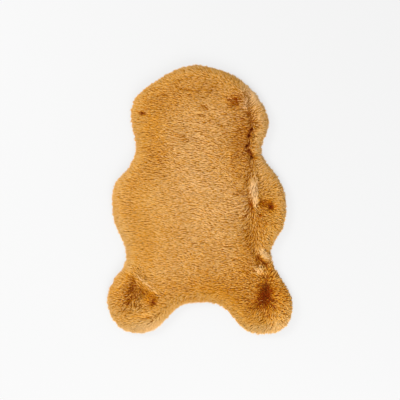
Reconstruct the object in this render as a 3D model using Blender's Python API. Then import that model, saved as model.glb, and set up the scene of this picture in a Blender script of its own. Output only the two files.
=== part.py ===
"""Sheepskin rug: one piece of long-pile plush cloth, cut to the outline of a hide, lying flat.

The body is a single closed solid as thick as the pile stands. Its underside is plain and flat.
The pile rolls over the edge to a soft rim, and its top has shallow partings and hollows where
the fibres fall away from each other. The frame has +Z up and +Y towards the head end, with the
origin on the floor under the middle of the rug's box.
"""

import math

import bmesh
import bpy
import numpy as np
from mathutils.geometry import delaunay_2d_cdt

# Driving dimensions, in metres.
LENGTH = 0.800
WIDTH = 0.550
PILE_TOP = 0.027          # level pile over the floor
RIM_HEIGHT = 0.009        # height of the pile's widest line
RIM_ROLL = 0.030          # from the widest line in to where the pile is level
RIM_TUCK = 0.016          # from the widest line in to the edge of the flat underside
EDGE_STEP = 0.0105        # between points along the cut edge
TOP_STEP = 0.0130         # between points of the level pile
TOP_CLEAR = 0.6           # share of TOP_STEP kept clear between those points and the rim
PIECES_PER_MARK = 24      # spline pieces from one mark of the outline to the next

# Ways round the rim's profile, in degrees: under the edge, then over it to the level pile.
TUCK_ANGLES = (0, 50)
ROLL_ANGLES = (0, 30, 60, 90)

# How the level stretches are filled: triangles inside the loop only, and no points merged.
FILL_INSIDE = 1
FILL_MERGE = 1e-7

# The cut edge, clockwise from the head seen from above: x and y in millimetres, before the
# whole outline is brought to LENGTH and WIDTH.
OUTLINE = (
    # place, x, y
    ("head", -8, 400),
    ("head right", 48, 389),
    ("brow right", 108, 365),
    ("temple right", 162, 318),
    ("cheek right", 194, 267),
    ("jaw right", 203, 217),
    ("neck right", 183, 143),
    ("shoulder right", 215, 89),
    ("foreleg right, upper", 243, 45),
    ("foreleg right", 257, -29),
    ("foreleg right, lower", 242, -91),
    ("waist right", 212, -148),
    ("hip right", 224, -204),
    ("hind leg right, upper", 260, -263),
    ("hind leg right", 275, -319),
    ("hind leg right, lower", 251, -379),
    ("hind leg right, end", 188, -399),
    ("hind leg right, inner", 132, -385),
    ("tail arch right, low", 94, -343),
    ("tail arch right", 64, -316),
    ("tail arch", -4, -305),
    ("tail arch left", -57, -315),
    ("tail arch left, low", -99, -352),
    ("hind leg left, inner", -137, -385),
    ("hind leg left, end", -182, -396),
    ("hind leg left, lower", -238, -379),
    ("hind leg left", -271, -328),
    ("hind leg left, outer", -275, -287),
    ("hind leg left, upper", -250, -228),
    ("hip left", -223, -186),
    ("waist left", -222, -145),
    ("foreleg left, lower", -247, -88),
    ("foreleg left", -262, -20),
    ("foreleg left, upper", -252, 48),
    ("shoulder left", -214, 95),
    ("neck left", -192, 149),
    ("jaw left", -206, 235),
    ("cheek left", -195, 297),
    ("temple left", -155, 337),
    ("brow left", -104, 370),
    ("head left", -58, 391),
)

# Partings, hollows and swellings of the pile, in millimetres and degrees. A row is an oval,
# with its long half along the turn from +X, and a height that is below zero for a hollow.
PILE_FORMS = (
    # place, x, y, half_length, half_width, turn, height
    ("broad back", -15, 0, 190, 110, 90, 2),
    ("broad brow", -30, 250, 110, 90, 0, 1),
    ("hollow above the right cheek", 102, 292, 24, 20, 70, -5),
    ("parting beside the right cheek", 150, 238, 30, 14, -62, -5),
    ("parting down the right neck", 148, 180, 50, 14, -88, -8),
    ("parting on the brow", -8, 321, 52, 14, -3, -2),
    ("hollow on the left cheek", -170, 254, 14, 12, 0, -4),
    ("ridge down the right side", 159, 25, 42, 14, 95, 5),
    ("hollow at the ridge's foot", 151, -17, 18, 13, -75, -6),
    ("hollow in the right foreleg", 212, -22, 20, 15, -75, -6),
    ("hollow at the right waist", 181, -179, 20, 13, -45, -6),
    ("hollow in the right hind leg", 194, -282, 30, 24, 80, -8),
    ("fold across the right hind leg", 170, -308, 26, 14, 40, -4),
    ("band over the left hind leg", -165, -243, 62, 14, -42, 4),
    ("hollow in the left hind leg", -207, -270, 36, 20, 80, -6),
    ("inner hollow of the left hind leg", -138, -302, 18, 14, 60, -6),
)

PILE_COLOUR = (0.604, 0.283, 0.066, 1.0)
PILE_ROUGHNESS = 0.9


def clear_scene():
    """Remove every object that is in the scene."""
    for thing in list(bpy.data.objects):
        bpy.data.objects.remove(thing, do_unlink=True)


def smooth_loop(points, pieces):
    """A closed cubic spline through the points, with this many pieces between two.

    Each stretch is a cubic, timed by the straight distance between its points. The bends
    at the points solve the equations that let slope and bend run on from one stretch to the
    next all the way round.
    """
    count = len(points)
    after = np.roll(points, -1, axis=0)
    span = np.linalg.norm(after - points, axis=1)
    slope = (after - points) / span[:, None]
    before = np.roll(span, 1)
    own = np.arange(count)
    equations = np.zeros((count, count))
    equations[own, own - 1] = before
    equations[own, own] = 2 * (before + span)
    equations[own, (own + 1) % count] = span
    bend = np.linalg.solve(equations, 6 * (slope - np.roll(slope, 1, axis=0)))[:, None]
    bend_after = np.roll(bend, -1, axis=0)
    width = span[:, None, None]
    t = np.linspace(0.0, 1.0, pieces, endpoint=False)[None, :, None]
    straight = points[:, None] * (1 - t) + after[:, None] * t
    start_part = bend * ((1 - t) ** 3 - (1 - t))
    end_part = bend_after * (t ** 3 - t)
    return (straight + width ** 2 / 6 * (start_part + end_part)).reshape(-1, 2)


def even_loop(loop, step):
    """The same closed line with its points about one step apart."""
    closed = np.vstack([loop, loop[:1]])
    run = np.r_[0.0, np.cumsum(np.linalg.norm(np.diff(closed, axis=0), axis=1))]
    places = np.linspace(0.0, run[-1], round(run[-1] / step), endpoint=False)
    return np.column_stack([np.interp(places, run, closed[:, axis]) for axis in (0, 1)])


def cut_edge():
    """The rug's widest outline, brought to its full length and width about the origin."""
    marks = np.array([(x, y) for place, x, y in OUTLINE], dtype=float) / 1000
    loop = even_loop(smooth_loop(marks, PIECES_PER_MARK), EDGE_STEP)
    low = loop.min(axis=0)
    high = loop.max(axis=0)
    return (loop - (low + high) / 2) * (WIDTH, LENGTH) / (high - low)


def inward(loop):
    """Unit directions into the rug, square to a loop that runs clockwise."""
    along = np.roll(loop, -1, axis=0) - np.roll(loop, 1, axis=0)
    along /= np.linalg.norm(along, axis=1)[:, None]
    return np.column_stack([along[:, 1], -along[:, 0]])


def pile_height(points):
    """Height of the level pile: PILE_TOP plus the bell-shaped ovals of PILE_FORMS."""
    height = np.full(len(points), PILE_TOP)
    for place, x, y, half_length, half_width, turn, rise in PILE_FORMS:
        away = points - np.array((x, y)) / 1000
        cosine = math.cos(math.radians(turn))
        sine = math.sin(math.radians(turn))
        along = (away[:, 0] * cosine + away[:, 1] * sine) / (half_length / 1000)
        across = (away[:, 1] * cosine - away[:, 0] * sine) / (half_width / 1000)
        height += rise / 1000 * np.exp(-along ** 2 - across ** 2)
    return height


def rim_rings(edge):
    """Rings from the underside's edge out to the widest line and over to the level pile.

    Under the edge the profile is a quarter oval RIM_TUCK wide and RIM_HEIGHT high. Above it
    is a quarter oval RIM_ROLL wide that ends level with the pile.
    """
    into = inward(edge)
    rings = []
    for angle in TUCK_ANGLES:
        flat = edge + into * RIM_TUCK * (1 - math.sin(math.radians(angle)))
        rise = RIM_HEIGHT * (1 - math.cos(math.radians(angle)))
        rings.append(np.column_stack([flat, np.full(len(edge), rise)]))
    for angle in ROLL_ANGLES:
        flat = edge + into * RIM_ROLL * (1 - math.cos(math.radians(angle)))
        rise = RIM_HEIGHT + (pile_height(flat) - RIM_HEIGHT) * math.sin(math.radians(angle))
        rings.append(np.column_stack([flat, rise]))
    return rings


def inside(points, loop):
    """Which points a closed loop surrounds, counting its crossings to the right of each."""
    start = loop[None]
    end = np.roll(loop, -1, axis=0)[None]
    x = points[:, None, 0]
    y = points[:, None, 1]
    spans = (start[..., 1] > y) != (end[..., 1] > y)
    drop = np.where(spans, end[..., 1] - start[..., 1], 1.0)
    crossing = start[..., 0] + (y - start[..., 1]) / drop * (end[..., 0] - start[..., 0])
    return (spans & (x < crossing)).sum(axis=1) % 2 == 1


def field_points(loop):
    """Points in staggered rows over the level pile, clear of its edge."""
    rows = []
    row_step = TOP_STEP * math.sqrt(3) / 2
    for number, y in enumerate(np.arange(-LENGTH / 2, LENGTH / 2, row_step)):
        x = np.arange(-WIDTH / 2, WIDTH / 2, TOP_STEP) + TOP_STEP / 2 * (number % 2)
        rows.append(np.column_stack([x, np.full(len(x), y)]))
    points = np.vstack(rows)
    points = points[inside(points, loop)]
    gaps = np.linalg.norm(points[:, None] - loop[None], axis=2).min(axis=1)
    return points[gaps > TOP_STEP * TOP_CLEAR]


def fill_loop(skin, corners, loop, field):
    """Fill a loop of the skin's corners with Delaunay triangles through the field's points.

    The field's points take the pile's height. With no field the fill stays flat.
    """
    flat = np.vstack([loop, field]).tolist()
    sides = [(index, (index + 1) % len(loop)) for index in range(len(loop))]
    triangles = delaunay_2d_cdt(flat, sides, [], FILL_INSIDE, FILL_MERGE)[2]
    tops = [skin.verts.new((x, y, z)) for (x, y), z in zip(field, pile_height(field))]
    places = corners + tops
    for triangle in triangles:
        skin.faces.new([places[index] for index in triangle])


def rug_mesh():
    """One closed skin: the rim's rings joined, the pile's field on top, a flat underside."""
    rings = rim_rings(cut_edge())
    skin = bmesh.new()
    rows = [[skin.verts.new(point) for point in ring] for ring in rings]
    count = len(rows[0])
    for lower, upper in zip(rows, rows[1:]):
        for index in range(count):
            after = (index + 1) % count
            skin.faces.new((lower[index], lower[after], upper[after], upper[index]))
    top = rings[-1][:, :2]
    fill_loop(skin, rows[-1], top, field_points(top))
    no_field = np.empty((0, 2))
    fill_loop(skin, rows[0], rings[0][:, :2], no_field)
    bmesh.ops.recalc_face_normals(skin, faces=skin.faces)
    bmesh.ops.triangulate(skin, faces=skin.faces)
    mesh = bpy.data.meshes.new("rug")
    skin.to_mesh(mesh)
    skin.free()
    return mesh


def plush_pile():
    """Material of the pile: matt golden plush."""
    material = bpy.data.materials.new("polyester plush pile")
    material.use_nodes = True
    shader = material.node_tree.nodes["Principled BSDF"]
    shader.inputs["Base Color"].default_value = PILE_COLOUR
    shader.inputs["Roughness"].default_value = PILE_ROUGHNESS
    shader.inputs["Metallic"].default_value = 0.0
    return material


def main():
    clear_scene()
    collection = bpy.data.collections.new("sheepskin rug")
    bpy.context.scene.collection.children.link(collection)
    mesh = rug_mesh()
    mesh.shade_smooth()
    mesh.materials.append(plush_pile())
    collection.objects.link(bpy.data.objects.new("rug", mesh))


main()
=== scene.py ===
import math
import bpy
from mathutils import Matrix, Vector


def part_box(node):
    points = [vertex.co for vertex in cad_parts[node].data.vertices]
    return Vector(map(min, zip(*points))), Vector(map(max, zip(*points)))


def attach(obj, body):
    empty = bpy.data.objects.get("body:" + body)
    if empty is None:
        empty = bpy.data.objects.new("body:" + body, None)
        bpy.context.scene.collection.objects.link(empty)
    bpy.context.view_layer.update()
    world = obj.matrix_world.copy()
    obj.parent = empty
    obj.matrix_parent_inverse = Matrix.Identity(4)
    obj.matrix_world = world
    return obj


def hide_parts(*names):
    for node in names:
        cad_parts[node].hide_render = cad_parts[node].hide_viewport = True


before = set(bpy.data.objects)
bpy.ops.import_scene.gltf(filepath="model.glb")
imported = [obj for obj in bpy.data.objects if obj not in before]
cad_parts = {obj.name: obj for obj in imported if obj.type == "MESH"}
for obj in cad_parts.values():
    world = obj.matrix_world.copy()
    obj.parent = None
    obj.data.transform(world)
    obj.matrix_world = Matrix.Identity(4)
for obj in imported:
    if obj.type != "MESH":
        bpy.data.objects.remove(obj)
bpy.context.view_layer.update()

from types import SimpleNamespace

import bpy
import numpy as np
from mathutils import Vector

MM = 1000                 # millimetres in a metre

# ---- Sizes, in metres: the rug's length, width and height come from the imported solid's box ----

LOW, HIGH = (np.array(corner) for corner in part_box("rug"))
PILE_TOP = 0.027          # level pile over the floor
LEAST_HEIGHT = 0.012      # of the pile at the bottom of its deepest hollow
RIM_HEIGHT = 0.009        # height of the pile's widest line
RIM_ROLL = 0.030          # how far in the rim runs before the pile is level
BACKING_INSET = 0.017     # from the pile's widest line in to the cut edge of the cloth
BACKING_THICK = 0.002
BACKING_STEP = 0.010      # of the grid it is made on
GROUND_INSET = 0.012      # from the widest line in to the side of the dense lower pile
GROUND_DEPTH = 0.0055     # from the tips of level pile down to the dense lower pile
GROUND_FOOT = 0.0024      # the lower pile starts just over the backing
GROUND_SIDE = 0.7         # height of its side, as a share of RIM_HEIGHT
GROUND_STEP = 0.007       # of the grid it is made on
GROUND_PALE = 0.02        # painted light pales its side this far in

LOCK_LONG = 0.0038        # half a lock's length along the nap, at its roots
LOCK_WIDE = 0.0014        # half its width
LOCK_AHEAD = 0.0054       # from lock to lock along the body's nap
LOCK_BESIDE = 0.0029      # from row to row of locks
LOCK_SHIFT = (0.00108, 0.00087)    # at random, ahead and beside
LOCK_CLEAR = 0.001        # from the side and the foot of the lower pile
ROW_SHIFT = 0.382         # share of LOCK_AHEAD that each row stands on from the one before
TURN_AHEAD = 0.755        # a lock's turn to be dark steps on by this from lock to lock
TURN_BESIDE = 0.570       # and by this from row to row
TURN_SHIFT = 0.1          # and is shifted at random by up to this
FAN_END = 0.042           # locks stand closer this near to the widest line
FAN_RIGHT = 0.6           # share of the closer locks that stand right of the parting
FAN_START = 0.3           # how far left of the parting, in its widths, those start
SIDE_LOCKS = 4            # locks round the side for each LOCK_BESIDE of its length
GOLDEN = 0.618            # the golden section
LOW_SHIFT = 0.2           # random part of how low a lock at the side starts
LOCK_SIZES = (1.0, 0.08)  # mean and spread of how long its strands are
SHORT_DEPTH = 0.025       # locks get shorter by the hollow's depth over this
SHORT_MOST = 0.45         # and by at most this share
BROKEN_LIMITS = (0.2, 1.8)         # least and most that the pile is broken up
STRANDS_PER_LOCK = 8
STRAND_LENGTH = 0.0146
STRAND_LENGTHS = (1, 0.07)         # mean and spread, as shares of it
STRAND_SHORTER = 0.16     # at the outside of a lock
STRAND_LONGER = 0.2       # at the rug's side
STRAND_RADIUS = 0.00050   # half a strand's width; real fibres are finer, and stand closer
STRAND_WIDTHS = (0.75, 1.25)       # least and most, as shares of it
STRAND_BEND = 0.45        # share of its length at which a strand bends
GATHER_BEND = 0.2         # share of its way back to the lock's middle that is done at the bend
GATHER_LOOSE = 0.6        # less gathered where the pile is loose
GATHER_RIM = 0.5          # share of that near the edge
ROOT_SUNK = 0.0015        # roots start this far inside the lower pile
TIP_OVER = 0.0015         # tips are shorn this far over the level pile
TIP_SPREAD = 0.0010       # from lock to lock
TIP_SUNK = 0.0025         # lower at the outside of a lock
BEND_UNDER = 0.002        # bends keep this far under the tips' height
SHORN_LEAST = 0.2         # a strand keeps this share of its length
LEAST_TIP = 0.0012        # tips keep this far over the floor
LEAST_BEND = 0.0016       # and bends this far
TIP_PAST = (0.0006, 0.0014)        # past the widest line: mean and spread
TUFT_RISE = 0.0021        # tufts of this height roughen the widest line

# Angles of a strand from upright.
LEAN_MOST = math.radians(70)       # where the lean is strongest
LOCK_SWAY = math.radians(8)        # from lock to lock
SIDE_TURN = math.radians(22)       # further out and down at the rug's side
LEAN_BELOW = 0.7                   # share of its lean that a strand has below its bend
LEAN_ABOVE = 1.2                   # and above it

# How deep in tone a strand is: -1 is a pale painted highlight, 0 pale straw, 1 gold and 2 rust-dark
# painted shade.
TONE_LEVEL = 0.17
TONE_UPRIGHT = 0.25       # painted shade, more where the pile stands upright
TONE_BORDER = 0.3         # more in a band along the edge
TONE_LOCK = -0.32         # the palest locks, against the level
TONE_TAIL = 0.32          # how fast dark locks get fewer the darker they are
TONE_SPREAD = 0.06        # of locks at the same turn
TONE_LAST = 0.93          # share of the locks that the tail reaches to
TONE_MEAN = -0.06         # of all locks
TONE_GAP_SHADE = 2.4            # painted shade at the outside of a lock, which makes the dark gap between two
TONE_MIDDLE_LIGHT = -0.85       # painted light at a lock's middle
TONE_HOLLOW = 1.0         # painted shade, more in a hollow as deep as SUNK_DEPTH
TONE_SPECKLE = 3.2        # painted shade there, uneven by the lock's own tone
TONE_CREST = -0.6         # painted highlight on a crest as high as CREST_HEIGHT
TONE_RANDOM = 0.14        # from strand to strand
TONE_RANDOM_SUNK = 0.6    # more in a hollow, which breaks up its painted shade
SUNK_DEPTH = 0.007
SUNK_START = 0.15         # share of that depth at which the hollow starts to tell
SUNK_MOST = 1.2
CREST_HEIGHT = 0.005
GROUND_SUNK = 0.009       # depth of hollow at which painted shade makes the lower pile fully rust-dark
BORDER_START = 0.03       # how far in the band along the edge is fully there
BORDER_END = 0.12         # how far in it ends
BORDER_FADE = 0.05        # over what length it does
RIM_CALM = 0.3            # the painted gap shade and middle light show by this share less near the edge
UPPER_PART = 0.6          # share of the tip in the place that a strand is seen at

# Smooth unevenness: the seed of its random draws, and the length of its waves in metres.
WAVES = {
    "sway of the nap": (3, 0.12),
    "finer sway of the nap": (4, 0.04),
    "depth of clefts": (5, 0.018),
    "tufts at the edge": (6, 0.015),
    "reach of whorls": (7, 0.04),
}
WAVE_LENGTHS = (0.7, 1.5)          # least and most, as shares of that length
PILE_SEED = 11
BATCH = 8192              # points that are compared with the whole edge at a time
EDGE_PIECES = 32          # of the edge between two of its marks
TINY = 1e-9               # what is divided by keeps at least this size

# The cut edge, clockwise from the head seen from above: x and y in millimetres.
OUTLINE = (
    # place, x, y
    ("head", -8, 400),
    ("head right", 48, 389),
    ("brow right", 108, 365),
    ("temple right", 162, 318),
    ("cheek right", 194, 267),
    ("jaw right", 203, 217),
    ("neck right", 183, 143),
    ("shoulder right", 215, 89),
    ("foreleg right, upper", 243, 45),
    ("foreleg right", 257, -29),
    ("foreleg right, lower", 242, -91),
    ("waist right", 212, -148),
    ("hip right", 224, -204),
    ("hind leg right, upper", 260, -263),
    ("hind leg right", 275, -319),
    ("hind leg right, lower", 251, -379),
    ("hind leg right, end", 188, -399),
    ("hind leg right, inner", 132, -385),
    ("tail arch right, low", 94, -343),
    ("tail arch right", 64, -316),
    ("tail arch", -4, -305),
    ("tail arch left", -57, -315),
    ("tail arch left, low", -99, -352),
    ("hind leg left, inner", -137, -385),
    ("hind leg left, end", -182, -396),
    ("hind leg left, lower", -238, -379),
    ("hind leg left", -271, -328),
    ("hind leg left, outer", -275, -287),
    ("hind leg left, upper", -250, -228),
    ("hip left", -223, -186),
    ("waist left", -222, -145),
    ("foreleg left, lower", -247, -88),
    ("foreleg left", -262, -20),
    ("foreleg left, upper", -252, 48),
    ("shoulder left", -214, 95),
    ("neck left", -192, 149),
    ("jaw left", -206, 235),
    ("cheek left", -195, 297),
    ("temple left", -155, 337),
    ("brow left", -104, 370),
    ("head left", -58, 391),
)

# Partings, hollows and swellings of the pile, in millimetres and degrees. A row is an oval,
# with its long half along the turn from +X, and a height that is below zero for a hollow.
PILE_FORMS = (
    # place, x, y, half_length, half_width, turn, height
    ("broad back", -15, 0, 190, 110, 90, 2),
    ("broad brow", -30, 250, 110, 90, 0, 1),
    ("hollow above the right cheek", 102, 292, 22, 18, 70, -6),
    ("lump above the right cheek", 136, 284, 19, 10, 80, 3.5),
    ("pit below that lump", 124, 265, 6, 4, 0, -5),
    ("slanted pit on the neck", 15, 273, 12, 4, -52, -7),
    ("short pit on the neck", 7, 249, 7, 4, 0, -6),
    ("pit on the left cheek", -170, 255, 7, 5, 0, -10),
    ("pit on the left neck", -49, 187, 7, 4, -20, -5),
    ("pit below it", -40, 175, 7, 4, -20, -5),
    ("pit on the left brow", -102, 309, 7, 4, -20, -5),
    ("pit on the right brow", 85, 300, 8, 5, -20, -4),
    ("ridge down the right side", 157, 32, 30, 10, 88, 6),
    ("ridge's foot", 166, -8, 12, 8, 60, 5),
    ("upper pit left of the ridge", 119, 26, 8, 4, 50, -5),
    ("lower pit left of the ridge", 107, 16, 7, 4, 30, -4),
    ("pit beside the ridge", 135, 15, 8, 5, 30, -6),
    ("dark notch at the ridge's foot", 153, -8, 9, 6, -60, -7),
    ("notch below it", 149, -27, 10, 5, 0, -7),
    ("pit below that", 134, -49, 9, 5, 60, -5),
    ("star hollow of the right foreleg", 211, -20, 11, 6, -75, -7),
    ("small pit left of the star", 188, -4, 9, 5, 10, -3),
    ("upper end of the waist pit", 173, -172, 8, 6, -60, -7),
    ("lower end of the waist pit", 189, -186, 10, 6, -20, -8),
    ("tuft above the right waist", 186, -162, 16, 7, -45, 4),
    ("small pit at the right waist", 199, -151, 7, 5, 0, -4),
    ("tuft below the right waist", 176, -205, 10, 8, 0, 4),
    ("pits below that tuft", 186, -228, 12, 4, 0, -4),
    ("top of the right hind leg's hollow", 197, -254, 14, 8, 88, -5),
    ("hollow in the right hind leg", 194, -284, 28, 24, 80, -8),
    ("fold across the right hind leg", 170, -308, 26, 12, 40, -5),
    ("pit right in the right hind leg", 219, -317, 10, 6, -45, -6),
    ("pit beside it", 221, -298, 9, 4, 0, -4),
    ("pit low in the right hind leg", 195, -340, 11, 4, -15, -6),
    ("band over the left hind leg", -165, -243, 62, 9, -42, 2.2),
    ("top of the left hind leg's hollow", -199, -240, 16, 13, 70, -4),
    ("middle of that hollow", -209, -267, 20, 18, 80, -4.5),
    ("foot of that hollow", -211, -297, 26, 16, 10, -4),
    ("brown fold under the band", -166, -270, 20, 9, -50, -3),
    ("inner hollow of the left hind leg", -138, -302, 13, 9, 60, -8),
    ("fold beside the inner hollow", -116, -283, 20, 8, 10, -4),
    ("crease low in the left hind leg", -152, -349, 17, 5, 5, -5),
)

# Painted tone over the pile. Above zero it is painted shade: deeper gold where the pile stands more
# upright, and rust-dark shade of its depth where it opens into pits, clefts and hollows (a share over
# 1). Below zero it is a painted highlight where the pile lies flatter and catches the light on
# ridges, tufts and rims. Broad rows deepen or pale whole regions.
TONES = (
    # place, x, y, half_length, half_width, turn, share
    ("head", -40, 320, 160, 70, 10, 0.35),
    ("left brow", -120, 235, 100, 60, 80, 0.3),
    ("left flank", -190, 0, 200, 45, 90, 0.1),
    ("left shoulder", -115, 118, 60, 60, 90, 0.32),
    ("down the right side", 116, 160, 125, 34, 90, 0.85),
    ("right side of the brow", 146, 310, 40, 34, 90, -0.35),
    ("left of the belly", -110, -80, 120, 55, 90, 0.2),
    ("right temple", 152, 312, 36, 20, -50, -1.3),
    ("right side of the belly", 144, -150, 95, 46, 90, 0.6),
    ("right foreleg", 190, -50, 50, 60, 0, 0.7),
    ("above the tail arch", 20, -265, 150, 34, 0, 0.42),
    ("left hind leg", -190, -300, 60, 50, 0, 0.25),
    ("middle of the back", 0, 52, 60, 50, 0, -0.2),
    ("end of the left hind leg", -150, -380, 75, 30, 0, -0.95),
    ("low in the left hind leg", -210, -350, 50, 30, -30, 0.15),
    ("end of the right hind leg", 200, -384, 80, 24, 10, -0.6),
    ("right hind leg", 165, -310, 90, 60, 0, 0.6),
    ("above the right cheek", 102, 291, 22, 15, 60, 1.1),
    ("pale ridge down the right side", 160, 29, 22, 12, 85, -2.9),
    ("pale foot of that ridge", 163, -2, 20, 7, 100, -2.6),
    ("turn of the right neck's cleft", 162, 124, 13, 5, -15, 1.5),
    ("along the right neck's cleft", 147, 205, 60, 20, 92, 0.6),
    ("star of the right foreleg", 211, -22, 17, 9, -75, 1.2),
    ("left of that star", 190, -14, 28, 15, -15, 1.1),
    ("tuft above the right waist", 189, -160, 20, 9, -45, -1.7),
    ("tuft below the right waist", 174, -207, 14, 11, 0, -1.4),
    ("waist pit", 180, -179, 15, 6, -42, 1.8),
    ("notches left of the ridge's foot", 150, -17, 14, 6, -75, 2.0),
    ("upper pit left of the ridge", 119, 27, 7, 3, 50, 1.2),
    ("lower pit left of the ridge", 107, 16, 6, 3, 30, 1.2),
    ("middle of the lower body", 10, -175, 100, 60, 0, 0.36),
    ("right of the neck", 62, 160, 45, 85, 0, 0.38),
    ("right hip", 150, -222, 80, 36, 0, 0.4),
    ("outer side of the right hind leg", 246, -275, 24, 40, 10, 0.8),
    ("pit on the left cheek", -171, 255, 7, 4, -25, 1.6),
    ("slanted pit on the neck", 14, 273, 10, 3, -52, 1.5),
    ("pits on the left neck", -45, 181, 10, 3, -50, 1.2),
    ("upper spot of the left hind leg", -198, -239, 9, 5, 60, 0.9),
    ("middle spot of the left hind leg", -209, -268, 9, 5, 50, 0.9),
    ("lower spot of the left hind leg", -212, -300, 10, 6, 20, 1.0),
    ("right hind leg's hollow", 194, -282, 32, 22, 90, 2.2),
    ("left of that hollow", 165, -305, 24, 16, 40, 0.3),
    ("left hind leg's hollow", -207, -268, 38, 22, 80, 0.35),
    ("inner hollow of the left hind leg", -138, -302, 12, 7, 60, 1.6),
    ("band over the left hind leg", -163, -245, 64, 5, -42, -0.7),
    ("lump above the right cheek", 134, 284, 18, 9, 75, -1.9),
    ("between the left hind leg's hollows", -160, -276, 32, 22, -50, 1.0),
    ("outer side of the left hind leg", -250, -272, 34, 20, 80, 0.4),
    ("above the left hind leg", -208, -222, 26, 18, 0, 0.35),
    ("edge of the left foreleg", -228, -95, 40, 30, 90, -0.25),
    ("edge of the right shoulder", 208, 22, 30, 30, 0, 0.35),
    ("outer side of the right hip", 205, -200, 24, 44, 20, 0.7),
    ("below the ridge's foot", 148, -38, 30, 34, 0, 0.2),
    ("low in the right hind leg", 208, -328, 40, 24, 0, 0.35),
)

# How broken up the pile is: below zero its locks run together, above it they stand apart.
BROKEN = (
    # place, x, y, half_length, half_width, turn, share
    ("left flank", -160, -100, 180, 70, 90, -0.55),
    ("left jaw", -140, 215, 70, 50, 60, -0.35),
    ("middle of the neck", 0, 170, 90, 60, 0, 0.2),
    ("down the right neck", 140, 205, 130, 60, 90, 0.55),
    ("below the ridge", 146, -22, 36, 42, 90, 0.6),
    ("ridge down the right side", 159, 24, 42, 14, 98, -0.8),
    ("right waist", 184, -182, 50, 34, 60, 0.5),
    ("right hind leg", 205, -290, 55, 50, 0, 0.2),
    ("left hind leg", -190, -280, 55, 50, 0, 0.2),
    ("end of the left hind leg", -150, -378, 90, 40, 0, -0.8),
    ("beside the tail arch, left", -95, -325, 40, 30, 50, -0.5),
    ("beside the tail arch, right", 75, -290, 70, 34, -30, -0.5),
    ("end of the right hind leg", 150, -380, 80, 34, 0, -0.8),
)

CREST_WIDTH = 30          # millimetres
CLEFT_UNEVEN = 0.8        # share by which a cleft's depth comes and goes

# Clefts, where the pile parts along a line: half width and depth, then the line's points.
CLEFTS = (
    # place, half_width, depth, path of x, y
    ("head of the right neck's cleft", 9, 4,
     ((132, 264), (142, 259), (151, 245), (148, 236), (160, 226))),
    ("cleft down the right neck", 4.5, 9.5,
     ((160, 226), (162, 217), (151, 209), (154, 203), (145, 196), (146, 188), (140, 179), (145, 168),
      (139, 159), (141, 148), (150, 140), (154, 125))),
    ("side cleft left of it", 4, 4, ((138, 207), (128, 204), (120, 208))),
    ("side cleft right of it", 4, 4, ((156, 135), (166, 130), (173, 130))),
    ("line on from the cleft", 4, 0.7, ((160, 110), (168, 80), (178, 50), (176, 36), (163, 14))),
    ("crease on the brow", 5, 2, ((-63, 327), (-30, 321), (10, 324), (46, 318))),
    ("crease on the right of the belly", 4, 2.4, ((62, -132), (78, -139), (97, -137))),
    ("crease below it", 4, 2.4, ((104, -177), (116, -181), (126, -178))),
)


# ---- The rug's outline and the lie of its pile ----

def smooth_loop(points, pieces):
    """A closed cubic spline through the points, with this many pieces between two.

    Each stretch is a cubic, timed by the straight distance between its points. The bends
    at the points solve the equations that let slope and bend run on all the way round.
    """
    count = len(points)
    after = np.roll(points, -1, axis=0)
    span = np.linalg.norm(after - points, axis=1)
    slope = (after - points) / span[:, None]
    before = np.roll(span, 1)
    own = np.arange(count)
    equations = np.zeros((count, count))
    equations[own, own - 1] = before
    equations[own, own] = 2 * (before + span)
    equations[own, (own + 1) % count] = span
    bend = np.linalg.solve(equations, 6 * (slope - np.roll(slope, 1, axis=0)))[:, None]
    bend_after = np.roll(bend, -1, axis=0)
    width = span[:, None, None]
    t = np.linspace(0.0, 1.0, pieces, endpoint=False)[None, :, None]
    straight = points[:, None] * (1 - t) + after[:, None] * t
    start_part = bend * ((1 - t) ** 3 - (1 - t))
    end_part = bend_after * (t ** 3 - t)
    return (straight + width ** 2 / 6 * (start_part + end_part)).reshape(-1, 2)


def cut_edge():
    """The pile's widest line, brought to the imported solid's length and width."""
    marks = np.array([(x, y) for place, x, y in OUTLINE], dtype=float) / MM
    loop = smooth_loop(marks, EDGE_PIECES)
    low = loop.min(axis=0)
    high = loop.max(axis=0)
    return LOW[:2] + (loop - low) * (HIGH - LOW)[:2] / (high - low)


def inward(loop):
    """Unit directions into the rug, square to a loop that runs clockwise."""
    along = np.roll(loop, -1, axis=0) - np.roll(loop, 1, axis=0)
    along /= np.linalg.norm(along, axis=1)[:, None]
    return np.column_stack([along[:, 1], -along[:, 0]])


EDGE = cut_edge()
EDGE_IN = inward(EDGE)


def unit(vectors):
    """Vectors divided by their lengths."""
    return vectors / np.maximum(np.linalg.norm(vectors, axis=-1, keepdims=True), TINY)


def edge_distance(points):
    """How far each point lies inside the widest line, and the way out from it.

    The nearest point of the line gives both; the distance is below zero outside the line.
    """
    nearest = np.empty(len(points), dtype=int)
    for start in range(0, len(points), BATCH):
        part = points[start:start + BATCH]
        gap = (EDGE ** 2).sum(axis=1)[None] - 2 * part @ EDGE.T
        nearest[start:start + BATCH] = gap.argmin(axis=1)
    away = points - EDGE[nearest]
    inside = (away * EDGE_IN[nearest]).sum(axis=1) >= 0
    depth = np.linalg.norm(away, axis=1) * np.where(inside, 1, -1)
    return depth, -EDGE_IN[nearest]


def nearest_on_path(points, path):
    """The nearest point of a path of straight stretches to each point, and the path's way there."""
    best = np.full(len(points), np.inf)
    nearest = np.zeros_like(points)
    way = np.zeros_like(points)
    for start, end in zip(path, path[1:]):
        along = end - start
        share = np.clip((points - start) @ along / (along @ along), 0, 1)
        place = start + share[:, None] * along
        gap = np.linalg.norm(points - place, axis=1)
        nearer = gap < best
        best = np.where(nearer, gap, best)
        nearest = np.where(nearer[:, None], place, nearest)
        way = np.where(nearer[:, None], unit(along), way)
    return nearest, way


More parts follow.
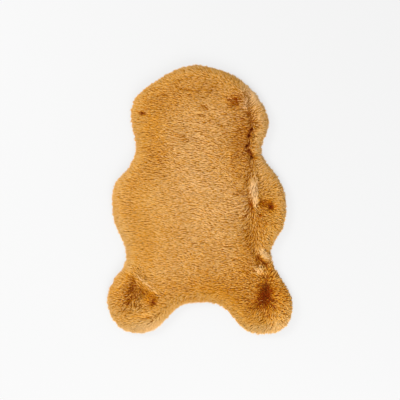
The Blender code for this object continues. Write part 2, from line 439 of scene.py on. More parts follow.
def oval(points, x, y, half_length, half_width, turn):
    """An oval bell of height 1 at each point, and its slope there as a share of its height.

    The bell is e to the power of minus the square of the way out, which counts half lengths
    along the oval and half widths across it.
    """
    away = points - np.array((x, y)) / MM
    cosine = math.cos(math.radians(turn))
    sine = math.sin(math.radians(turn))
    long_way = np.array((cosine, sine)) / (half_length / MM)
    short_way = np.array((-sine, cosine)) / (half_width / MM)
    along = away @ long_way
    across = away @ short_way
    fall = -2 * (along[:, None] * long_way + across[:, None] * short_way)
    return np.exp(-along ** 2 - across ** 2), fall


def pile_height(points):
    """Height of the level pile, its slope, and how far each point lies in a hollow or on a crest.

    The height is PILE_TOP plus bell-shaped ovals, less a bell across each cleft, and never
    under LEAST_HEIGHT. Broad swellings, wider than CREST_WIDTH, don't count as crests.
    """
    height = np.full(len(points), PILE_TOP)
    slope = np.zeros((len(points), 2))
    hollow = np.zeros(len(points))
    crest = np.zeros(len(points))
    for place, x, y, half_length, half_width, turn, rise in PILE_FORMS:
        share, fall = oval(points, x, y, half_length, half_width, turn)
        bell = rise / MM * share
        height += bell
        slope += bell[:, None] * fall
        if rise < 0:
            hollow -= bell
        elif half_width < CREST_WIDTH:
            crest += bell
    for place, half_width, depth, path in CLEFTS:
        away = points - nearest_on_path(points, np.array(path) / MM)[0]
        bell = depth / MM * np.exp(-(away ** 2).sum(axis=1) / (half_width / MM) ** 2)
        bell *= np.maximum(1 + CLEFT_UNEVEN * waves(points, "depth of clefts"), 0)
        height -= bell
        slope += 2 * bell[:, None] * away / (half_width / MM) ** 2
        hollow += bell
    return np.maximum(height, LEAST_HEIGHT), slope, hollow, crest


def ovals(table, points):
    """The sum of a table's ovals at each point, each times its row's last value."""
    return sum(most * oval(points, *form)[0] for place, *form, most in table)


def waves(points, name, count=7):
    """Smooth unevenness of about -1 to 1: sine waves in random directions, added up."""
    seed, length = WAVES[name]
    draw = np.random.default_rng(seed)
    angle = draw.uniform(0, 2 * math.pi, count)
    size = 2 * math.pi / (length * draw.uniform(*WAVE_LENGTHS, count))
    phase = draw.uniform(0, 2 * math.pi, count)
    way = np.stack([np.cos(angle), np.sin(angle)]) * size
    return np.sin(points @ way + phase).sum(axis=1) / math.sqrt(count)


def smooth_step(value):
    """0 below 0, 1 above 1, and between them three times the square less twice the cube."""
    value = np.clip(value, 0, 1)
    return value * value * (3 - 2 * value)


# The body's pile is brushed towards the left and a little towards the head.
NAP_TURN = math.radians(171)
NAP_SWAY = math.radians(7)
NAP_SWAY_FINE = math.radians(2.8)
NAP_LEAN = 1.3
NAP_LOST = 0.9            # share of that lean that is lost at the edge
RIM_REACH = 0.045         # metres in from the edge within which the pile falls outwards
FALL_FADE = 0.11          # right of the parting it does so further in, and fades over this
FALL_END = 0.187          # and ends this far in
SLOPE_PULL = 0.7          # towards the top of a slope
SLOPE_LIMIT = 0.45        # the pull on a steep slope
SLACK_LEAN = 0.7          # pile that leans less than this falls towards the tail
SLACK_FALL = 0.8          # by up to this
SLACK_WAY = (0.1, -1.0)
SWEEP_WAY = (0.2, -1.0)   # of the sweep along the parting
SWEEP_CALM = 0.7          # how far a sweep of 1 keeps the parting's pile together
COMB_LEAN = 1.1
LEAN_SPREAD = 0.06        # from lock to lock
LEAN_SPREAD_LOOSE = 0.3   # more where the pile is loose
STRAND_SPREAD = 0.05      # from strand to strand
OWN_LEAN = 0.6            # share of a strand's lean from its own root's place

# The line down the right side where the pile parts: left of it the pile follows the body's
# nap, and right of it the pile falls outwards.
PART_LINE = (
    # y, x, width it takes to turn over, sweep towards the tail
    (400, 170, 40, 0.0),
    (310, 135, 40, 0.0),
    (246, 147, 40, 0.0),
    (202, 150, 40, 0.0),
    (155, 143, 40, 0.0),
    (110, 155, 40, 0.4),
    (60, 162, 40, 0.9),
    (11, 158, 50, 0.9),
    (-40, 152, 90, 0.9),
    (-100, 160, 100, 0.9),
    (-160, 172, 60, 0.9),
    (-190, 180, 45, 0.5),
    (-293, 200, 40, 0.2),
    (-400, 205, 40, 0.0),
)

WHORL_SHARP = 1.3         # how fast a whorl ends at its reach
WHORL_OPEN = 2.2          # how fast the lean grows from its line
WHORL_UNEVEN = 0.12       # share by which its reach comes and goes

# Whorls, where the pile opens outwards all round a short line: reach in millimetres.
WHORLS = (
    # place, reach, share, ends of the line as x, y
    ("left hind leg", 50, 0.5, ((-200, -245), (-207, -270), (-216, -290))),
    ("right hind leg", 62, 0.9, ((197, -252), (192, -296))),
)

# Bands where the pile lies combed along a line.
COMBED = (
    # place, half_width, share, path of x, y
    ("over the left hind leg", 15, 0.8, ((-116, -281), (-176, -241), (-206, -214))),
    ("brown fold under that band", 12, 0.6, ((-148, -288), (-162, -270), (-186, -250))),
    ("ridge down the right side", 12, 0.9, ((148, 62), (153, 45), (157, 20), (165, -14))),
    ("line above the right cheek", 8, 0.5, ((144, 312), (141, 300), (134, 276))),
)


def past_parting(points):
    """How far each point lies right of the parting, in its widths, and the parting's sweep there."""
    y, x, width, sweep = np.array(PART_LINE[::-1], dtype=float).T
    place = np.interp(points[:, 1], y / MM, x / MM)
    past = (points[:, 0] - place) / np.interp(points[:, 1], y / MM, width / MM)
    return past, np.interp(points[:, 1], y / MM, sweep)


def lean_field(points):
    """The way and amount that strands lean at each point, and from 0 to 1 how loose they are.

    The lean is a vector up to about 1 long. It adds the body's nap, which fades out at the
    parting down the right side; the fall outwards near the edge and right of the parting;
    the opening outwards round each whorl; and a pull up each slope of the pile's forms, so
    that strands open away from a hollow and gather on a swelling. Where these cancel, the
    pile falls a little towards the tail. A combed band's own way is mixed in by a bell
    across it.
    """
    depth, out = edge_distance(points)
    turn = NAP_TURN + NAP_SWAY * waves(points, "sway of the nap")
    turn += NAP_SWAY_FINE * waves(points, "finer sway of the nap")
    past, sweep = past_parting(points)
    left = smooth_step(0.5 - past)
    right = (1 - left) * smooth_step((FALL_END - depth) / FALL_FADE)
    parting = 4 * left * (1 - left)
    rim = smooth_step(1 - depth / RIM_REACH)
    opened = np.zeros((len(points), 2))
    calm = np.ones(len(points))
    for place, reach, share, line in WHORLS:
        away = (points - nearest_on_path(points, np.array(line) / MM)[0]) / (reach / MM)
        gone = np.linalg.norm(away, axis=1) * (1 + WHORL_UNEVEN * waves(points, "reach of whorls"))
        near = share * smooth_step(0.5 + WHORL_SHARP * (1 - gone))
        opened += unit(away) * (near * np.minimum(WHORL_OPEN * gone, 1))[:, None]
        calm *= 1 - near
    nap = np.column_stack([np.cos(turn), np.sin(turn)])
    lean = nap * (NAP_LEAN * left * calm * (1 - NAP_LOST * rim))[:, None]
    lean += np.array(SWEEP_WAY) * (parting * sweep * calm)[:, None]
    lean += out * np.maximum(rim, right * calm)[:, None] + opened
    pull = SLOPE_PULL * pile_height(points)[1]
    steep = np.linalg.norm(pull, axis=1, keepdims=True)
    lean += pull / (1 + steep / SLOPE_LIMIT)
    slack = np.clip(1 - np.linalg.norm(lean, axis=1) / SLACK_LEAN, 0, 1) * calm
    lean += np.array(SLACK_WAY) * (SLACK_FALL * slack)[:, None]
    loose = np.maximum(1 - calm, parting * (1 - np.minimum(SWEEP_CALM * sweep, 1)))
    for place, half_width, share, path in COMBED:
        nearest, way = nearest_on_path(points, np.array(path) / MM)
        gone = np.linalg.norm(points - nearest, axis=1) / (half_width / MM)
        near = share * np.exp(-gone ** 2) * (1 - rim)
        lean = lean * (1 - near)[:, None] + way * (COMB_LEAN * near)[:, None]
        loose = loose * (1 - near)
    return lean, loose


# ---- Locks and strands of pile ----

def ground_height(points, depth):
    """Top of the dense lower pile: GROUND_DEPTH under the tips, rounded down at its side.

    The rounding is a quarter of an ellipse, from a low side up to the level over the stretch
    in which the rim runs in.
    """
    level = pile_height(points)[0] - GROUND_DEPTH
    inside = np.clip((depth - GROUND_INSET) / (RIM_ROLL - GROUND_INSET), 0, 1)
    side = RIM_HEIGHT * GROUND_SIDE
    return side + (level - side) * np.sqrt(1 - (1 - inside) ** 2)


def field_locks(draw):
    """Places of locks on the level pile, and from 0 to 1 how dark each one's turn falls.

    Staggered rows along the nap with a random shift. Turns step on by fixed shares of 1 from
    lock to lock and row to row, so that dark locks are spread evenly and seldom touch. A
    second such set between them fills out the places where the pile fans open: the last
    stretch before the side, and all that lies right of the parting.
    """
    ys = np.arange(LOW[1], HIGH[1], LOCK_BESIDE)
    xs = np.arange(LOW[0], HIGH[0], LOCK_AHEAD)
    x, y = np.meshgrid(xs, ys)
    x = x + (np.arange(len(ys)) * ROW_SHIFT % 1 * LOCK_AHEAD)[:, None]
    ahead, beside = np.meshgrid(np.arange(len(xs)), np.arange(len(ys)))
    turn = (ahead * TURN_AHEAD + beside * TURN_BESIDE).ravel()
    points = np.column_stack([x.ravel(), y.ravel()])
    points = np.vstack([points, points + np.array((LOCK_AHEAD, LOCK_BESIDE)) / 2])
    points += draw.normal(0, 1, points.shape) * LOCK_SHIFT
    turn = (np.r_[turn, turn + 0.5] + draw.uniform(-TURN_SHIFT, TURN_SHIFT, len(points))) % 1
    depth = edge_distance(points)[0]
    kept = depth > GROUND_INSET + LOCK_CLEAR
    fan = smooth_step((FAN_END - depth) / (FAN_END - GROUND_INSET))
    fan = np.maximum(fan, FAN_RIGHT * smooth_step(FAN_START + past_parting(points)[0]))
    second = np.arange(len(points)) >= len(points) // 2
    kept &= ~second | (draw.uniform(0, 1, len(points)) < fan)
    return points[kept], turn[kept]


def side_locks(draw):
    """Places of locks round the side of the lower pile, and from 0 to 1 how low each one starts.

    They stand evenly round the edge, each shifted at random by up to half a step. How low
    they start steps on by the golden section, so that neighbours never start level.
    """
    length = np.linalg.norm(np.roll(EDGE, -1, axis=0) - EDGE, axis=1).sum()
    count = int(length / LOCK_BESIDE * SIDE_LOCKS)
    index = ((np.arange(count) + draw.uniform(-0.5, 0.5, count)) / count * len(EDGE)).astype(int)
    index %= len(EDGE)
    points = EDGE[index] + EDGE_IN[index] * (GROUND_INSET + LOCK_CLEAR)
    low = (np.arange(count) * GOLDEN + draw.uniform(0, LOW_SHIFT, count)) % 1
    return points, low


def plant_locks(draw):
    """All locks, with what the strands of each one share.

    A lock's tone is pale or, by minus the logarithm of its turn, ever darker and rarer. It
    leans as its place does, more at random where the pile is loose. Its allowance is how far
    its tips may reach past the widest line, in waves that make tufts.
    """
    locks = SimpleNamespace()
    level, turn = field_locks(draw)
    side, low = side_locks(draw)
    locks.place = np.vstack([level, side])
    count = len(locks.place)
    locks.low = np.r_[np.zeros(len(level)), low]
    locks.depth = edge_distance(locks.place)[0]
    lean, locks.loose = lean_field(locks.place)
    spread = LEAN_SPREAD + LEAN_SPREAD_LOOSE * locks.loose
    locks.lean = lean + draw.normal(0, 1, (count, 2)) * spread[:, None]
    hollow = pile_height(locks.place)[2]
    locks.size = draw.normal(*LOCK_SIZES, count)
    locks.size *= 1 - np.clip(hollow / SHORT_DEPTH, 0, SHORT_MOST)
    turn = np.r_[turn, draw.uniform(0, 1, len(side))]
    locks.tone = draw.normal(TONE_LOCK, TONE_SPREAD, count) - TONE_TAIL * np.log(1 - TONE_LAST * turn)
    tufts = TUFT_RISE * waves(locks.place, "tufts at the edge")
    locks.allowance = draw.normal(*TIP_PAST, count) + tufts
    locks.near_rim = smooth_step(1 - (locks.depth - GROUND_INSET) / RIM_REACH)
    locks.broken = np.clip(1 + ovals(BROKEN, locks.place), *BROKEN_LIMITS)
    return locks


def plant_strands(draw, locks):
    """Roots of every lock's strands, how far out in its lock each stands, and its way sideways.

    Roots fill an oval along the lock's lean: a random turn, and the square root of a random
    share of the way out. They sit in the top of the lower pile, or down its side.
    """
    shape = (len(locks.place), STRANDS_PER_LOCK)
    turn = draw.uniform(0, 2 * math.pi, shape)
    far = np.sqrt(draw.uniform(0, 1, shape))
    along = unit(locks.lean)[:, None]
    across = np.stack([-along[..., 1], along[..., 0]], axis=-1)
    sideways = across * (np.sin(turn) * far * LOCK_WIDE)[..., None]
    flat = locks.place[:, None] + along * (np.cos(turn) * far * LOCK_LONG)[..., None] + sideways
    depth = np.maximum(edge_distance(flat.reshape(-1, 2))[0], GROUND_INSET)
    rise = ground_height(flat.reshape(-1, 2), depth).reshape(shape)
    rise -= locks.low[:, None] * (rise - GROUND_FOOT - LOCK_CLEAR)
    root = np.concatenate([flat, rise[..., None] - ROOT_SUNK], axis=-1)
    return root, far, sideways


def toward(way, tilt):
    """Unit directions in space: this far from upright, towards a level way."""
    return np.concatenate([way * np.sin(tilt)[..., None], np.cos(tilt)[..., None]], axis=-1)


def bend_strands(draw, locks, root, far, sideways):
    """Where each strand bends and ends.

    A strand leans partly as its lock and partly as its own root's place, by an angle that
    grows as the hyperbolic tangent of the lean, less below the bend and more above it. Tips
    draw together across the lock. At the side the lower pile faces outwards, so strands
    there are longer and swing out and down with it. Tips are shorn level and held in.
    """
    shape = far.shape
    own = lean_field(root[..., :2].reshape(-1, 2))[0].reshape(shape + (2,))
    lean = (1 - OWN_LEAN) * locks.lean[:, None] + OWN_LEAN * own
    lean += draw.normal(0, STRAND_SPREAD, shape + (2,))
    way = unit(lean)
    side = np.clip(1 - (locks.depth - GROUND_INSET) / (RIM_ROLL - GROUND_INSET), 0, 1) ** 2
    turned = LOCK_SWAY * locks.broken * draw.normal(0, 1, len(side))
    turned += SIDE_TURN * (side + locks.low)
    tilt = LEAN_MOST * np.tanh(np.linalg.norm(lean, axis=-1)) + turned[:, None]
    length = STRAND_LENGTH * locks.size[:, None] * draw.normal(*STRAND_LENGTHS, shape)
    length *= (1 - STRAND_SHORTER * far ** 2) * (1 + STRAND_LONGER * side[:, None])
    middle = root + toward(way, tilt * LEAN_BELOW) * (length * STRAND_BEND)[..., None]
    tip = middle + toward(way, tilt * LEAN_ABOVE) * (length * (1 - STRAND_BEND))[..., None]
    gather = 1 - GATHER_LOOSE * np.maximum(GATHER_RIM * locks.near_rim, locks.loose)
    middle[..., :2] -= GATHER_BEND * sideways * gather[:, None, None]
    tip[..., :2] -= sideways * gather[:, None, None]
    level = pile_height(tip[..., :2].reshape(-1, 2))[0].reshape(shape)
    over = TIP_SPREAD * draw.normal(0, 1, (shape[0], 1)) - TIP_SUNK * far ** 2
    top = level + TIP_OVER + locks.broken[:, None] * over
    tip = shorn(root, tip, top)
    middle = shorn(root, middle, top - BEND_UNDER)
    allowance = np.repeat(locks.allowance, STRANDS_PER_LOCK)
    tip[..., :2] += held_in(tip[..., :2].reshape(-1, 2), allowance).reshape(shape + (2,))
    tip[..., 2] = np.maximum(tip[..., 2], LEAST_TIP)
    middle[..., 2] = np.maximum(middle[..., 2], LEAST_BEND)
    return middle, tip


def held_in(points, allowance):
    """The move that brings tips more than their allowance past the widest line back to it."""
    depth, out = edge_distance(points)
    past = np.maximum(-depth - allowance, 0)
    return -out * past[:, None]


def shorn(root, end, top):
    """Ends drawn back along their strands to the height the pile is shorn at."""
    rise = np.maximum(end[..., 2] - root[..., 2], TINY)
    share = np.clip((top - root[..., 2]) / rise, SHORN_LEAST, 1)
    return root + (end - root) * share[..., None]


def strand_tones(draw, locks, middle, tip, far):
    """How deep in tone each strand is, from -1 to 2.

    It adds its lock's tone to the painted tone of the place where its upper part lies, with painted
    shade at the lock's outside by the cube of the way out, where it stands upright and in a hollow,
    unevenly, and a painted highlight on a crest.
    """
    shape = far.shape
    seen = (1 - UPPER_PART) * middle[..., :2] + UPPER_PART * tip[..., :2]
    tone = ovals(TONES, seen.reshape(-1, 2)).reshape(shape)
    lock_tone = TONE_MEAN + locks.broken * (locks.tone - TONE_MEAN)
    hollow, crest = (part.reshape(shape) for part in pile_height(tip[..., :2].reshape(-1, 2))[2:])
    hollow_shade = np.clip(hollow / SUNK_DEPTH - SUNK_START, 0, SUNK_MOST)
    upright = np.clip(1 - np.linalg.norm(locks.lean, axis=1), 0, 1)
    border = smooth_step((BORDER_END - locks.depth) / BORDER_FADE)
    border -= smooth_step(1 - (locks.depth - GROUND_INSET) / BORDER_START)
    tone += (TONE_LEVEL + TONE_UPRIGHT * upright + TONE_BORDER * border + lock_tone)[:, None]
    # Painted shade in hollows, speckled by the lock's own tone
    tone += (TONE_HOLLOW + TONE_SPECKLE * locks.tone[:, None]) * hollow_shade
    # Painted highlight on crests
    tone += TONE_CREST * crest / CREST_HEIGHT
    tone += draw.normal(0, 1, shape) * (TONE_RANDOM + TONE_RANDOM_SUNK * hollow_shade)
    # Painted shade in the gap round each lock, painted light on its middle
    gap_shade_share = locks.broken * (1 - RIM_CALM * locks.near_rim)
    tone += (TONE_GAP_SHADE * far ** 3 + TONE_MIDDLE_LIGHT) * gap_shade_share[:, None]
    return np.clip(tone, -1, 2)


def grow_pile(draw):
    """All strands from head to tail, as arrays: root, middle, tip, radius and tone.

    Strands come in locks. Their tips draw together and sink away from the lock's middle, and painted
    shade darkens them there while painted light pales the middle, so that locks lie on each other
    like shingles with a dark gap round each.
    """
    locks = plant_locks(draw)
    root, far, sideways = plant_strands(draw, locks)
    middle, tip = bend_strands(draw, locks, root, far, sideways)
    radius = STRAND_RADIUS * draw.uniform(*STRAND_WIDTHS, far.shape)
    tone = strand_tones(draw, locks, middle, tip, far)
    order = np.argsort(-np.repeat(locks.place[:, 1], STRANDS_PER_LOCK), kind="stable")
    rows = [part.reshape(-1, 3)[order] for part in (root, middle, tip)]
    return rows + [radius.ravel()[order], tone.ravel()[order]]


# A blade's four points in its cell of the map, and its four triangles.
KITE = ((0.5, 0.05), (0.95, 0.45), (0.05, 0.45), (0.5, 0.95))
BLADE = ((0, 1, 2), (3, 2, 1), (0, 3, 1), (0, 2, 3))
ROUNDED = 0.7             # how far the light sees a blade as rounded over to its sides
ROUNDED_TIP = 0.3         # and towards its tip


def strand_map(mesh, faces):
    """The strands' own map: a square cell for each in rows, with its blade as a kite in it."""
    count = faces.max() // 4 + 1
    row = math.ceil(math.sqrt(count))
    index = np.arange(count)
    cell = np.column_stack([index % row, index // row])
    corners = ((cell[:, None] + np.array(KITE)) / row).reshape(-1, 2)
    layer = mesh.uv_layers.new(name="OFBake")
    layer.data.foreach_set("uv", corners[faces.ravel()].astype(np.float32).ravel())


def strand_mesh(name, root, middle, tip, radius, tone):
    """A joined mesh of strands, each a bent blade closed by four triangles.

    A blade runs from a point at the root over two points side by side at its bend to a point
    at the tip, and straight back underneath. Every vertex keeps how far along its strand it
    lies, and how deep its tone is.
    """
    count = len(root)
    chord = tip - root
    side = unit(np.cross(chord, np.broadcast_to((0.0, 0.0, 1.0), chord.shape)))
    side *= np.sign(((middle - root) * np.cross(side, chord)).sum(axis=1))[:, None]
    across = side * radius[:, None]
    points = np.stack([root, middle + across, middle - across, tip], axis=1).reshape(-1, 3)
    back = unit(np.cross(side, chord)) + np.array((0.0, 0.0, 1.0))
    over = ROUNDED * side
    normals = np.stack([back, back + over, back - over, back + ROUNDED_TIP * unit(chord)], axis=1)
    normals = unit(normals).reshape(-1, 3)
    faces = (np.array(BLADE) + 4 * np.arange(count)[:, None, None]).reshape(-1, 3)
    mesh = bpy.data.meshes.new(name)
    mesh.vertices.add(len(points))
    mesh.vertices.foreach_set("co", points.astype(np.float32).ravel())
    mesh.loops.add(faces.size)
    mesh.loops.foreach_set("vertex_index", faces.astype(np.int32).ravel())
    mesh.polygons.add(len(faces))
    mesh.polygons.foreach_set("loop_start", np.arange(0, faces.size, 3, dtype=np.int32))
    mesh.update(calc_edges=True)
    mesh.polygons.foreach_set("use_smooth", np.ones(len(faces), dtype=bool))
    strand_map(mesh, faces)
    mesh.normals_split_custom_set_from_vertices(normals.tolist())
    vertex_values(mesh, "along", np.tile((0, STRAND_BEND, STRAND_BEND, 1), count))
    vertex_values(mesh, "tone", np.repeat(tone, 4))
    return placed(name, mesh)


def vertex_values(mesh, name, values):
    """Keep a value for each vertex, for the mesh's material to read."""
    attribute = mesh.attributes.new(name, "FLOAT", "POINT")
    attribute.data.foreach_set("value", values.astype(np.float32))


def placed(name, data):
    """A new object in the scene that shows this mesh, light or camera."""
    thing = bpy.data.objects.new(name, data)
    bpy.context.collection.objects.link(thing)
    return thing


# ---- The lower pile and the backing: closed sheets over the outline ----

def laid_body(name, inset, step, top, bottom):
    """A closed body over the outline drawn in by inset, from a square grid of this step.

    A grid point that falls outside is moved to the nearest point of the drawn-in line, and
    cells with no point inside are left out. The same grid at the bottom's height closes it,
    with the points on the line shared, so that top and bottom meet there.
    """
    xs = np.arange(LOW[0], HIGH[0] + step, step)
    ys = np.arange(LOW[1], HIGH[1] + step, step)
    x, y = np.meshgrid(xs, ys)
    points = np.column_stack([x.ravel(), y.ravel()])
    depth, out = edge_distance(points)
    outside = depth < inset
    points = np.where(outside[:, None], points + out * (depth - inset)[:, None], points)
    depth = np.maximum(depth, inset)
    index = np.arange(len(points)).reshape(x.shape)
    cells = np.stack([index[:-1, :-1], index[:-1, 1:], index[1:, 1:], index[1:, :-1]], axis=-1)
    cells = cells.reshape(-1, 4)
    cells = cells[(~outside[cells]).any(axis=1)]
    high = np.column_stack([points, top(points, depth)])
    low = np.column_stack([points, bottom(points, depth)])
    lower = np.where(outside, index.ravel(), index.ravel() + len(points))
    faces = np.vstack([cells, lower[cells][:, ::-1]])
    used, faces = np.unique(faces, return_inverse=True)
    faces = faces.reshape(-1, 4)
    corners = np.vstack([high, low])[used]
    mesh = bpy.data.meshes.new(name)
    mesh.from_pydata(corners.tolist(), [], faces.tolist())
    mesh.update()
    mesh.shade_smooth()
    flat_map(mesh, corners, faces)
    return placed(name, mesh)


def flat_map(mesh, corners, faces):
    """The body's own map: its top as seen from above in the left half, its underside beside it."""
    place = (corners[faces.ravel(), :2] - LOW[:2]) / (2 * (HIGH - LOW)[0])
    place[len(place) // 2:, 0] += 0.5
    layer = mesh.uv_layers.new(name="OFBake")
    layer.data.foreach_set("uv", place.astype(np.float32).ravel())


# ---- Materials ----

GROUND_GRAIN = 0.0019     # metres
SUEDE_GRAIN = 0.0011
STREAK_WIDE = 0.012
STREAK_LONG = 0.11

STRAND_PLACES = (0.0, 0.5, 0.8, 1.0)      # from root to tip; darker towards the root is painted shade of the pile's depth, the pale tip a painted highlight
STRAND_SHADES = (
    # shade, tone where it starts, tone where it covers fully, colours at the places
    ("straw", None, None, ("#B06E26", "#DBA350", "#E7BA6E", "#F0CC8C")),
    # deeper gold: partly the locks' own tone, partly painted shade where the pile stands up or opens
    ("gold", 0.0, 1.0, ("#A05606", "#D28608", "#E69E1E", "#F4B63C")),
    # rust-dark painted shade, where the pile's depth shows in gaps, pits and hollows
    ("rust_painted_shade", 1.12, 2.05, ("#540E04", "#7A1E05", "#963209", "#AE4A15")),
    # pale painted highlight on ridges, tufts, crests and rims, which the palest locks reach too
    ("pale_and_painted_highlight", 0.0, -1.0, ("#C88848", "#F0BE7C", "#FAD094", "#FFDEAE")),
)

GROUND_PLACES = (0.36, 0.5, 0.66)         # of the grain, from its dips to its tops
GROUND_SHADES = (
    # shade, tone where it starts, tone where it covers fully, colours at the places
    # deeper than the strands: painted shade of the pile's depth
    ("gold", None, None, ("#743A0C", "#A46420", "#CE9040")),
    # rust-dark painted shade in hollows
    ("rust_painted_shade", 0.0, 1.0, ("#4C1404", "#742C0A", "#9E5018")),
    # painted light at the side
    ("straw", 0.0, -1.0, ("#C48A42", "#D09A51", "#DCAA60")),
)

SUEDE_PLACES = (0.3, 0.7)                 # of the grain
SUEDE_SHADES = (
    # shade, streak where it starts, streak where it covers fully, colours at the places
    ("raised nap", None, None, ("#B79A76", "#C9AE8B")),
    ("nap laid over", 0.33, 0.67, ("#A78B68", "#BDA07C")),
)


def colour(code):
    """An sRGB hex value as linear colour."""
    parts = [int(code[i:i + 2], 16) / 255 for i in (1, 3, 5)]
    return [c / 12.92 if c <= 0.04045 else ((c + 0.055) / 1.055) ** 2.4 for c in parts] + [1.0]


def add(tree, kind, settings=None, links=None):
    """Add a node. Settings are its own properties or socket values, links are its inputs."""
    new = tree.nodes.new(kind)
    for key, value in (settings or {}).items():
        if isinstance(key, str) and hasattr(new, key):
            setattr(new, key, value)
        else:
            new.inputs[key].default_value = value
    for key, source in (links or {}).items():
        tree.links.new(source, new.inputs[key])
    return new


def blank(name):
    """A new material with an empty node tree."""
    material = bpy.data.materials.new(name)
    material.use_nodes = True
    material.node_tree.nodes.clear()
    return material, material.node_tree


def layered_shade(tree, share, places, tone, shades):
    """Colour of a surface on which one shade covers another as its tone changes.

    Each shade runs through its colours as the share passes the places. The first lies under
    the rest. Each later one covers those before it by (tone - start) / (full - start), which
    counts as 0 below 0 and as 1 above 1.
    """
    result = None
    for name, start, full, codes in shades:
        ramp = add(tree, "ShaderNodeValToRGB", {"label": name}, {"Fac": share})
        elements = ramp.color_ramp.elements
        while len(elements) < len(places):
            elements.new(0.5)
        for element, place, code in zip(elements, places, codes):
            element.position = place
            element.color = colour(code)
        if result is None:
            result = ramp.outputs["Color"]
            continue
        steep = 1 / (full - start)
        cover = add(tree, "ShaderNodeMath",
                    {"operation": "MULTIPLY_ADD", 1: steep, 2: -start * steep}, {0: tone})
        result = add(tree, "ShaderNodeMix", {"data_type": "RGBA", "clamp_factor": True},
                     {0: cover.outputs[0], 6: result, 7: ramp.outputs["Color"]}).outputs[2]
    return result


def plush_strands():
    """Polyester plush, dyed in the fibre, cut and brushed.

    To the eye each lock runs from a root darkened by painted shade to a tip paled by a painted
    highlight. It is straw-coloured where the pile lies flat, gold with painted shade where it stands
    up, rust-dark with painted shade down in hollows and paler with a painted highlight on ridges.
    The fibres' gloss is too fine to show singly and averages out, so they are matt.
    """
    material, tree = blank("polyester plush pile")
    along = add(tree, "ShaderNodeAttribute", {"attribute_name": "along"}).outputs["Fac"]
    tone = add(tree, "ShaderNodeAttribute", {"attribute_name": "tone"}).outputs["Fac"]
    shade = layered_shade(tree, along, STRAND_PLACES, tone, STRAND_SHADES)
    shader = add(tree, "ShaderNodeBsdfPrincipled", {"Roughness": 0.7, "Specular IOR Level": 0.0},
                 {"Base Color": shade})
    add(tree, "ShaderNodeOutputMaterial", links={"Surface": shader.outputs[0]})
    return material


def plush_ground():
    """The same plush low down, where cut fibres crowd.

    To the eye a speckled gold with no gloss, deeper than the strands as painted shade of the pile's
    depth, with painted shade making it rust-dark in hollows and painted light paling it where light
    comes in at the side. Its grain stands for single fibres, which are too fine to show, so it is
    drawn coarser than they are.
    """
    material, tree = blank("polyester plush ground")
    place = add(tree, "ShaderNodeTexCoord").outputs["Object"]
    grain = add(tree, "ShaderNodeTexNoise", {"Scale": 1 / GROUND_GRAIN, "Detail": 2.0},
                {"Vector": place}).outputs["Fac"]
    tone = add(tree, "ShaderNodeAttribute", {"attribute_name": "tone"}).outputs["Fac"]
    shade = layered_shade(tree, grain, GROUND_PLACES, tone, GROUND_SHADES)
    bump = add(tree, "ShaderNodeBump", {"Strength": 0.8, "Distance": 0.002}, {"Height": grain})
    shader = add(tree, "ShaderNodeBsdfPrincipled", {"Roughness": 0.9, "Specular IOR Level": 0.0},
                 {"Base Color": shade, "Normal": bump.outputs["Normal"]})
    add(tree, "ShaderNodeOutputMaterial", links={"Surface": shader.outputs[0]})
    return material


def suede_backing():
    """Polyester cloth with its back brushed to a short suede.

    To the eye flat beige, with a fine grain of fibres, drawn coarser than they are so that
    it shows, and soft streaks along the rug where the nap was brushed.
    """
    material, tree = blank("polyester suede backing")
    place = add(tree, "ShaderNodeTexCoord").outputs["Object"]
    grain = add(tree, "ShaderNodeTexNoise", {"Scale": 1 / SUEDE_GRAIN, "Detail": 4.0},
                {"Vector": place}).outputs["Fac"]
    brushed = add(tree, "ShaderNodeMapping", {"Scale": (1 / STREAK_WIDE, 1 / STREAK_LONG, 1.0)},
                  {"Vector": place}).outputs["Vector"]
    streak = add(tree, "ShaderNodeTexNoise", {"Scale": 1.0, "Detail": 3.0},
                 {"Vector": brushed}).outputs["Fac"]
    shade = layered_shade(tree, grain, SUEDE_PLACES, streak, SUEDE_SHADES)
    bump = add(tree, "ShaderNodeBump", {"Strength": 0.3, "Distance": 0.0004}, {"Height": grain})
    shader = add(tree, "ShaderNodeBsdfPrincipled", {"Roughness": 0.95, "Specular IOR Level": 0.1},
                 {"Base Color": shade, "Normal": bump.outputs["Normal"]})
    add(tree, "ShaderNodeOutputMaterial", links={"Surface": shader.outputs[0]})
    return material


def floor_paint():
    """Matt white floor, lit evenly through from below like a light table, so shadows stay faint."""
    material, tree = blank("matt white floor")
    shader = add(tree, "ShaderNodeBsdfPrincipled",
                 {"Base Color": colour("#6C6C6C"), "Roughness": 1.0, "Specular IOR Level": 0.0,
                  "Emission Color": colour(WHITE), "Emission Strength": 0.70})
    add(tree, "ShaderNodeOutputMaterial", links={"Surface": shader.outputs[0]})
    return material


# ---- Camera, light and floor ----

WHITE = "#FFFFFF"
FRAME_WIDTH = 1.185       # what the view spans at the rug
CAMERA_PLACE = (0.0, -0.001, 3.2)
SENSOR = 36.0
FLOOR_HALF = 3.0          # half the floor's side
WALL_LIGHT = 0.78         # of the pale studio walls

# A soft box at the upper left, and a wider one on the tail's side.
LIGHTS = (
    # name, place, side, power
    ("key", (-2.2, 0.9, 1.9), 1.0, 55.5),
    ("fill", (0.4, -2.2, 1.7), 1.6, 60),
)


def make_camera():
    """A camera straight over the rug's middle, with a lens that spans FRAME_WIDTH there."""
    camera = bpy.data.cameras.new("camera")
    camera.sensor_width = SENSOR
    camera.lens = SENSOR * (CAMERA_PLACE[2] - PILE_TOP / 2) / FRAME_WIDTH
    bpy.context.scene.camera = placed("camera", camera)
    bpy.context.scene.camera.location = CAMERA_PLACE


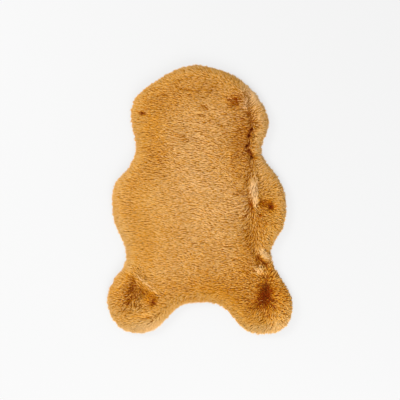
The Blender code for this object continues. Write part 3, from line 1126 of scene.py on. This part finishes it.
def make_light():
    """Square soft boxes aimed at the rug's middle, and pale studio walls all round."""
    for name, place, side, power in LIGHTS:
        light = bpy.data.lights.new(name, "AREA")
        light.shape = "SQUARE"
        light.size = side
        light.energy = power
        light.color = colour(WHITE)[:3]
        box = placed(name, light)
        box.location = place
        box.rotation_euler = (-Vector(place)).to_track_quat("-Z", "Y").to_euler()
    world = bpy.data.worlds.new("studio")
    world.use_nodes = True
    walls = world.node_tree.nodes["Background"].inputs
    walls["Color"].default_value = colour(WHITE)
    walls["Strength"].default_value = WALL_LIGHT
    bpy.context.scene.world = world
    bpy.context.scene.view_settings.view_transform = "Standard"


def make_floor():
    """A plain square floor under the rug, well past the view."""
    mesh = bpy.data.meshes.new("floor")
    corners = [(x * FLOOR_HALF, y * FLOOR_HALF, 0) for x, y in ((-1, -1), (1, -1), (1, 1), (-1, 1))]
    mesh.from_pydata(corners, [], [(0, 1, 2, 3)])
    floor = placed("floor", mesh)
    mesh.materials.append(floor_paint())


# ---- Putting it together ----

PILE_PIECES = ("pile_brow", "pile_neck", "pile_shoulders", "pile_belly", "pile_hips", "pile_legs")


def show(piece, material):
    """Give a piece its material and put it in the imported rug's place."""
    piece.data.materials.append(material)
    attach(piece, "root")
    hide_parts("rug")


def make_backing():
    """The cloth that the pile is tufted into: a thin sheet, cut well inside the pile's edge."""
    half = BACKING_THICK / 2
    backing = laid_body("backing", BACKING_INSET, BACKING_STEP,
                        lambda points, depth: np.where(depth > BACKING_INSET, BACKING_THICK, half),
                        lambda points, depth: np.where(depth > BACKING_INSET, 0.0, half))
    show(backing, suede_backing())
    return backing


def make_ground():
    """The dense lower pile, with painted shade that deepens its tone in hollows and painted light
    that pales it at the side.
    """
    ground = laid_body("pile_ground", GROUND_INSET, GROUND_STEP, ground_height,
                       lambda points, depth: np.full(len(points), GROUND_FOOT))
    places = np.empty(len(ground.data.vertices) * 3, dtype=np.float32)
    ground.data.vertices.foreach_get("co", places)
    places = places.reshape(-1, 3)[:, :2].astype(float)
    # Painted shade deepens the tone in hollows; painted light pales the side
    side_light = smooth_step(1 - (edge_distance(places)[0] - GROUND_INSET) / GROUND_PALE)
    vertex_values(ground.data, "tone", pile_height(places)[2] / GROUND_SUNK - side_light)
    show(ground, plush_ground())
    return ground


def make_pile():
    """The strands, in pieces from head to tail."""
    strands = grow_pile(np.random.default_rng(PILE_SEED))
    plush = plush_strands()
    pieces = []
    shares = np.array_split(np.arange(len(strands[0])), len(PILE_PIECES))
    for name, share in zip(PILE_PIECES, shares):
        piece = strand_mesh(name, *(values[share] for values in strands))
        show(piece, plush)
        pieces.append(piece)
    return pieces


def main():
    """Camera, light, floor and the rug's layers: the backing, the lower pile and the strands."""
    make_camera()
    make_light()
    make_floor()
    backing = make_backing()
    pile = [make_ground()] + make_pile()


main()
